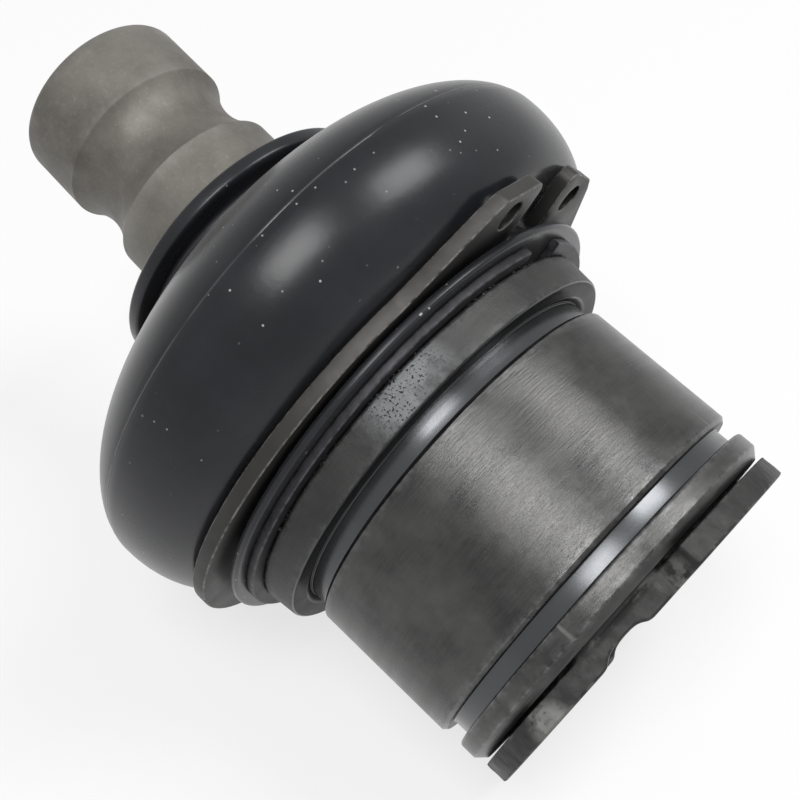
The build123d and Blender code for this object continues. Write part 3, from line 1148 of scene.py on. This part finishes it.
@dataclass
class SnapRing:
    """The stored snap ring with its two lugs.

    Attributes:
        inner: Inner radius.
        back: Width of the rim opposite the gap.
        front: Width of the rim beside the lugs.
        thickness: Thickness.
        rounding: Radius of its edges.
        gap: Space between the lugs.
        reach: Radius of the lugs' outer edge.
        heel: Angle at which that edge ends.
        shoulder: Radius and angle of the shoulder beside it.
        flank: Angle at which the lug's flank leaves the rim.
        hole_place: Place of the holes along the gap's middle line.
        hole_spacing: Distance between the holes.
        hole_radius: Radius of the holes.
        facing: Direction of the gap in degrees.
        lean: Tilt about Y in degrees.
        height: Height of its underside.
    """

    inner: float = 18.1
    back: float = 4.0
    front: float = 2.1
    thickness: float = 1.2
    rounding: float = 0.14
    gap: float = 5.8
    reach: float = 23.7
    heel: float = 20.0
    shoulder: Point = (23.2, 23.5)
    flank: float = 44.0
    hole_place: float = 20.7
    hole_spacing: float = 11.7
    hole_radius: float = 1.2
    facing: float = 60.0
    lean: float = 2.9
    height: float = 8.2

    def around(self, radius: float, degrees: float) -> Point:
        """Point at a radius and an angle."""
        return radius * math.cos(math.radians(degrees)), radius * math.sin(math.radians(degrees))

    def rim(self, degrees: float) -> Point:
        """Point on the eccentric outer edge at an angle seen from that edge's own centre."""
        x, y = self.around(self.inner + (self.back + self.front) / 2, degrees)
        return x - (self.back - self.front) / 2, y

    def outline(self) -> list[Point]:
        """The ring's edge in order: a lug, the outside, the other lug and back along the inside."""
        side = self.gap / 2
        half = [
            Corner(math.sqrt(self.inner**2 - side**2), side),
            Corner(math.sqrt(self.reach**2 - side**2), side, 0.9),
            Corner(*self.around(self.reach, self.heel), 0.9),
            Corner(*self.around(*self.shoulder), 0.5),
            Corner(*self.rim(self.flank), 1.5),
            Corner(*self.rim(self.flank + 3)),
        ]
        lug = [(station.radius, station.height) for station in profile_stations(half, 5, 0.6)]
        rim = [self.rim(self.flank + 3 + step) for step in range(2, 353 - round(2 * self.flank), 2)]
        other = [(x, -y) for x, y in reversed(lug)]
        inner_start = math.degrees(math.asin(side / self.inner))
        turns = (angle for angle in range(-10, -350, -2) if inner_start + 1 < -angle < 359 - inner_start)
        inside = [self.around(self.inner, angle) for angle in turns]
        return lug + rim + other + inside

    def place(self, point: Vector) -> Vector:
        """Turn the ring's own frame to its place round the boot."""
        faced = Matrix.Rotation(math.radians(self.facing), 3, "Z")
        return Matrix.Rotation(math.radians(self.lean), 3, "Y") @ faced @ point + Vector((0, 0, self.height))

    def build(self, finish: Material) -> None:
        """Make the ring.

        Args:
            finish: The blackened spring steel.
        """
        holes = []
        for side in (1, -1):
            centre = Vector((self.hole_place, side * self.hole_spacing / 2))
            around = (Vector(self.around(self.hole_radius, angle)) for angle in range(0, 360, 9))
            holes.append([tuple(centre + point) for point in around])
        part = FlatPart(self.outline(), holes, self.thickness, self.rounding)
        mesh = finish_mesh(part.mesh("snap_ring", self.place), 35)
        settle(add_piece("stored_snap_ring", mesh, finish), SWING_BODY, "retaining_circlip")


@dataclass
class ClampRing:
    """Flat open ring under the boot's skirt, swept along an arc."""

    inner: float = 15.35
    outer: float = 18.9
    thickness: float = 0.7
    underside: float = 5.42
    gap: float = 4.3
    gap_facing: float = 58.0
    rounding: float = 0.16

    def build(self, finish: Material) -> None:
        """Make the ring.

        Args:
            finish: The blackened flat steel.
        """
        middle = (self.inner + self.outer) / 2
        half_gap = math.asin(self.gap / 2 / middle)
        tree = ShapeTree("open_ring", {
            "Radius": middle * MM,
            "Start": math.radians(self.gap_facing) + half_gap,
            "Sweep": math.tau - 2 * half_gap,
            "Width": (self.outer - self.inner) * MM,
            "Thickness": self.thickness * MM,
            "Rounding": self.rounding * MM,
            "Height": (self.underside + self.thickness / 2) * MM,
            "Steps": 220,
        })
        path = tree.node(
            "GeometryNodeCurveArc", {"mode": "RADIUS"}, Resolution=tree.size("Steps"),
            Radius=tree.size("Radius"), Start_Angle=tree.size("Start"), Sweep_Angle=tree.size("Sweep"),
        )
        section = tree.node(
            "GeometryNodeCurvePrimitiveQuadrilateral", Width=tree.size("Width"), Height=tree.size("Thickness")
        )
        rounded = tree.node(
            "GeometryNodeFilletCurve", {"mode": "POLY"},
            Curve=section.outputs[0], Count=4, Radius=tree.size("Rounding"), Limit_Radius=True,
        )
        tangent = tree.node("GeometryNodeInputTangent")
        parts = tree.node("ShaderNodeSeparateXYZ", Vector=tangent.outputs[0])
        slant = tree.combine("ABSOLUTE", tree.product(parts.outputs[0], parts.outputs[1], 2.0))
        marked = tree.node(
            "GeometryNodeStoreNamedAttribute", {"data_type": "FLOAT", "domain": "POINT"},
            Geometry=rounded.outputs[0], Name="edge_wear", Value=slant,
        )
        raised = tree.raised(path.outputs["Curve"])
        profile = marked.outputs[0]
        swept = tree.node("GeometryNodeCurveToMesh", Curve=raised, Profile_Curve=profile, Fill_Caps=True)
        mesh = finish_mesh(tree.bake("clamp_ring", finish, swept.outputs[0]), 35)
        settle(add_piece("open_clamp_ring", mesh, finish), HOUSING_BODY, "boot_clamp_ring")


@dataclass
class FlangeBurr:
    """Torn black burr along the flange's upper edge.

    Attributes:
        radius: Radius of the edge.
        height: Its height.
        crumbs: Number of places for a crumb along it.
        crumb_size: Radius of a crumb.
        stray: How far a crumb strays from the edge.
        patchiness: Cells per metre of the patches that hold crumbs.
    """

    radius: float = 17.72
    height: float = 5.3
    crumbs: int = 900
    crumb_size: float = 0.085
    stray: float = 0.13
    patchiness: float = 420.0

    def build(self, finish: Material) -> None:
        """Scatter the crumbs along the edge in patches.

        Args:
            finish: The blackened steel.
        """
        sizes = {"Radius": self.radius * MM, "Height": self.height * MM, "Crumb": self.crumb_size * MM}
        tree = ShapeTree("edge_burr", {**sizes, "Count": self.crumbs})
        path = tree.node(
            "GeometryNodeCurvePrimitiveCircle", {"mode": "RADIUS"}, Resolution=tree.size("Count"),
            Radius=tree.size("Radius"),
        )
        raised = tree.raised(path.outputs[0])
        points = tree.node("GeometryNodeCurveToPoints", {"mode": "EVALUATED"}, Curve=raised)
        loose = tree.scatter(-self.stray * MM, self.stray * MM, 5)
        moved = tree.node("GeometryNodeSetPosition", Geometry=points.outputs["Points"], Offset=loose)
        patches = tree.node("ShaderNodeTexNoise", Scale=self.patchiness, Detail=3.0)
        over = {"data_type": "FLOAT", "operation": "GREATER_THAN"}
        chosen = tree.node("FunctionNodeCompare", over, patches.outputs["Fac"], 0.5)
        crumb = tree.node("GeometryNodeMeshIcoSphere", Radius=tree.size("Crumb"), Subdivisions=1)
        spread = tree.node(
            "GeometryNodeInstanceOnPoints", Points=moved.outputs[0], Selection=chosen.outputs[0],
            Instance=crumb.outputs["Mesh"],
            Rotation=tree.scatter(0.0, 6.2, 7), Scale=tree.scatter(0.4, 1.5, 9),
        )
        mesh = finish_mesh(tree.bake("flange_burr", finish, spread.outputs[0]), 20)
        piece = add_piece("flange_burr", mesh, finish)
        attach(piece, HOUSING_BODY)
        LOG.info("flange_burr: %d faces on %s", len(mesh.polygons), HOUSING_BODY)


@dataclass
class ClosingPlate:
    """Stamped closing plate: softened edges and a torn sheared rim.

    Attributes:
        voxel: Size of the remesh in millimetres.
        tear: Depth of the tears in the rim in millimetres.
    """

    voxel: float = 0.19
    tear: float = 0.05

    def soften(self, carrier: Thing) -> None:
        """Remesh an object evenly and round its edges."""
        remesh = carrier.modifiers.new("remesh", "REMESH")
        remesh.mode = "VOXEL"
        remesh.voxel_size = self.voxel * MM
        smooth = carrier.modifiers.new("soften", "SMOOTH")
        smooth.factor = 0.5
        smooth.iterations = 3

    def build(self, finish: Material) -> None:
        """Make the plate.

        Args:
            finish: The blackened sheet steel.
        """
        work = bmesh.new()
        work.from_mesh(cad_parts["closing_plate"].data)
        bmesh.ops.remove_doubles(work, verts=work.verts, dist=1e-6)
        start = bpy.data.meshes.new("plate_start")
        work.to_mesh(start)
        work.free()
        mesh = worked("stamped_plate", start, self.soften)
        wear = []
        moved = []
        for vert in mesh.vertices:
            normal = vert.normal
            flat = normal.z * normal.z
            wear.append(4 * flat * (1 - flat))
            place = vert.co / MM
            edge = 1.0 - min(abs(normal.z) / 0.8, 1.0)
            tear = noise.noise(place * 1.1) + 0.4 * noise.noise(place * 2.9)
            moved.append(vert.co - normal * (self.tear * MM * edge * (0.8 + tear)))
        for vert, place in zip(mesh.vertices, moved):
            vert.co = place
        mesh.attributes.new("edge_wear", "FLOAT", "POINT").data.foreach_set("value", wear)
        mesh.shade_smooth()
        piece = add_piece("stamped_closing_plate", mesh, finish)
        settle(piece, HOUSING_BODY, "closing_plate")


@dataclass
class PhotoCamera:
    """The camera that took the photograph, worked out from the outlines.

    Attributes:
        frame_px: Width of the photograph in pixels.
        focal_px: Focal length in pixels.
        place_mm: Its place in the row frame.
        turn: Its three turns in radians.
    """

    frame_px: float = 800.0
    focal_px: float = 1217.6
    place_mm: Place = (96.0, 0.0, -17.145)
    turn: Place = (-0.26258, -0.0054115, -0.839099)

    def axes(self) -> Matrix:
        """Rows that hold the camera's right, down and forward directions."""
        base = Matrix(((0, 1, 0), (0, 0, -1), (-1, 0, 0)))
        roll = Matrix.Rotation(self.turn[2], 3, "Z")
        yaw = Matrix.Rotation(self.turn[1], 3, "Y")
        pitch = Matrix.Rotation(self.turn[0], 3, "X")
        return roll @ yaw @ pitch @ base

    def build(self) -> None:
        """Make the camera and use it for the scene."""
        data = bpy.data.cameras.new("photo_camera")
        data.sensor_width = 36.0
        data.lens = self.focal_px / self.frame_px * data.sensor_width
        data.clip_start = 0.005
        data.clip_end = 20.0
        camera = linked("photo_camera", data)
        rows = self.axes()
        turn = Matrix((rows[0], -rows[1], -rows[2])).transposed()
        camera.matrix_world = Matrix.Translation(Vector(self.place_mm) * MM) @ turn.to_4x4()
        bpy.context.scene.camera = camera


@dataclass
class Studio:
    """Pale floor, two soft lamps and a pale surround.

    Attributes:
        floor_normal: Direction away from the floor in the row frame.
        floor_half: Half the floor's width in metres.
        floor_paleness: Share of plain white that the camera sees on the floor.
        key: Direction to the first lamp.
        side: Direction to the second lamp.
        lamp_size: Width and height of a lamp in metres.
        lamp_away: Distance of a lamp in metres.
        key_power: Power of the first lamp in watts.
        side_power: Power of the second lamp.
        sky: Strength of the light from all round.
    """

    floor_normal: Place = (0.84, 0.49, 0.236)
    floor_half: float = 4.0
    floor_paleness: float = 0.72
    key: Place = (0.98, 0.17, 0.09)
    side: Place = (0.55, 0.82, -0.04)
    lamp_size: Point = (0.25, 0.2)
    lamp_away: float = 0.6
    key_power: float = 1.9
    side_power: float = 1.7
    sky: float = 0.35

    def floor_finish(self) -> Material:
        """Pale floor that takes shadows, shows as white and is clear to the camera from behind."""
        bench = Bench("pale_floor", Roughness=0.7)
        shade = bench.blend(bench.spread(bench.clouds(6, 2)), (0.88, 0.88, 0.88), (0.9, 0.9, 0.9))
        glow = bench.node("ShaderNodeEmission")
        clear = bench.node("ShaderNodeBsdfTransparent")
        camera_ray = bench.node("ShaderNodeLightPath").outputs["Is Camera Ray"]
        behind = bench.product(camera_ray, bench.node("ShaderNodeNewGeometry").outputs["Backfacing"])
        pale = bench.product(bench.straight(), self.floor_paleness)
        paler = bench.node("ShaderNodeMixShader", None, pale, bench.shader.outputs[0], glow.outputs[0])
        mixed = bench.node("ShaderNodeMixShader", None, behind, paler.outputs[0], clear.outputs[0])
        bench.set(bench.output, Surface=mixed.outputs[0])
        return bench.close(Base_Color=shade)

    def floor(self) -> None:
        """Lay the floor against the lowest points of the part, as it lies in the photograph."""
        normal = Vector(self.floor_normal).normalized()
        level = min(normal.dot(vert.co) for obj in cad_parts.values() for vert in obj.data.vertices)
        across = normal.orthogonal().normalized() * self.floor_half
        along = normal.cross(across)
        signs = ((-1, -1), (1, -1), (1, 1), (-1, 1))
        corners = [normal * level + across * first + along * second for first, second in signs]
        mesh = bpy.data.meshes.new("floor")
        mesh.from_pydata(corners, [], [(0, 1, 2, 3)])
        mesh.update()
        if mesh.polygons[0].normal.dot(normal) < 0:
            mesh.flip_normals()
        floor = add_piece("floor", mesh, self.floor_finish())

    def lamp(self, name: str, direction: Place, power: float) -> None:
        """Hang one soft lamp.

        Args:
            name: Name of the lamp.
            direction: Direction to it from the part.
            power: Power in watts.
        """
        data = bpy.data.lights.new(name, "AREA")
        data.shape = "RECTANGLE"
        data.size, data.size_y = self.lamp_size
        data.energy = power
        towards = Vector(direction).normalized()
        turn = towards.to_track_quat("Z", "Y").to_matrix().to_4x4()
        linked(name, data).matrix_world = Matrix.Translation(towards * self.lamp_away) @ turn

    def surround(self) -> None:
        """Pale world that the camera and reflections see as white."""
        world = bpy.data.worlds.new("studio")
        bpy.context.scene.world = world
        world.use_nodes = True
        board = Board(world.node_tree)
        board.tree.nodes.clear()
        lit = board.node("ShaderNodeBackground", Strength=self.sky)
        white = board.node("ShaderNodeBackground", Strength=1.0)
        mixed = board.node("ShaderNodeMixShader", None, board.straight(), lit.outputs[0], white.outputs[0])
        board.node("ShaderNodeOutputWorld", Surface=mixed.outputs[0])
        bpy.context.scene.view_settings.view_transform = "Standard"

    def build(self) -> None:
        """Make the floor, lamps and surround."""
        self.floor()
        self.lamp("key_lamp", self.key, self.key_power)
        self.lamp("side_lamp", self.side, self.side_power)
        self.surround()


def main() -> None:
    """Build the camera, the studio and every sub-assembly."""
    logging.basicConfig(level=logging.INFO, format="%(name)s %(message)s")
    PhotoCamera().build()
    Studio().build()
    StudSet().build(PhosphatedSteel().material())
    BootSet().build(BootRubber().material())
    HousingSet().build(TurnedSteel().material())
    stamped = StampedSteel().material()
    spring = BlackSteel("spring_steel", (0.022, 0.022, 0.025), (0.20, 0.20, 0.21), 0.4).material()
    circlip = BlackSteel("circlip_steel", (0.032, 0.031, 0.030), (0.20, 0.195, 0.18), 0.5).material()
    clamp = BlackSteel("clamp_steel", (0.018, 0.018, 0.020), (0.09, 0.09, 0.10), 0.5).material()
    plastic = BearingPlastic().material()
    SnapRing().build(circlip)
    ClampRing().build(clamp)
    ClosingPlate().build(stamped)
    FlangeBurr().build(stamped)
    dressed = {
        "boot_top_ring": spring,
        "upper_bearing_seat": plastic,
        "lower_bearing_seat": plastic,
        "pressure_disc": spring,
        "preload_spring": spring,
    }
    for node, finish in dressed.items():
        dress(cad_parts[node].data, finish)


if __name__ == "__main__":
    main()
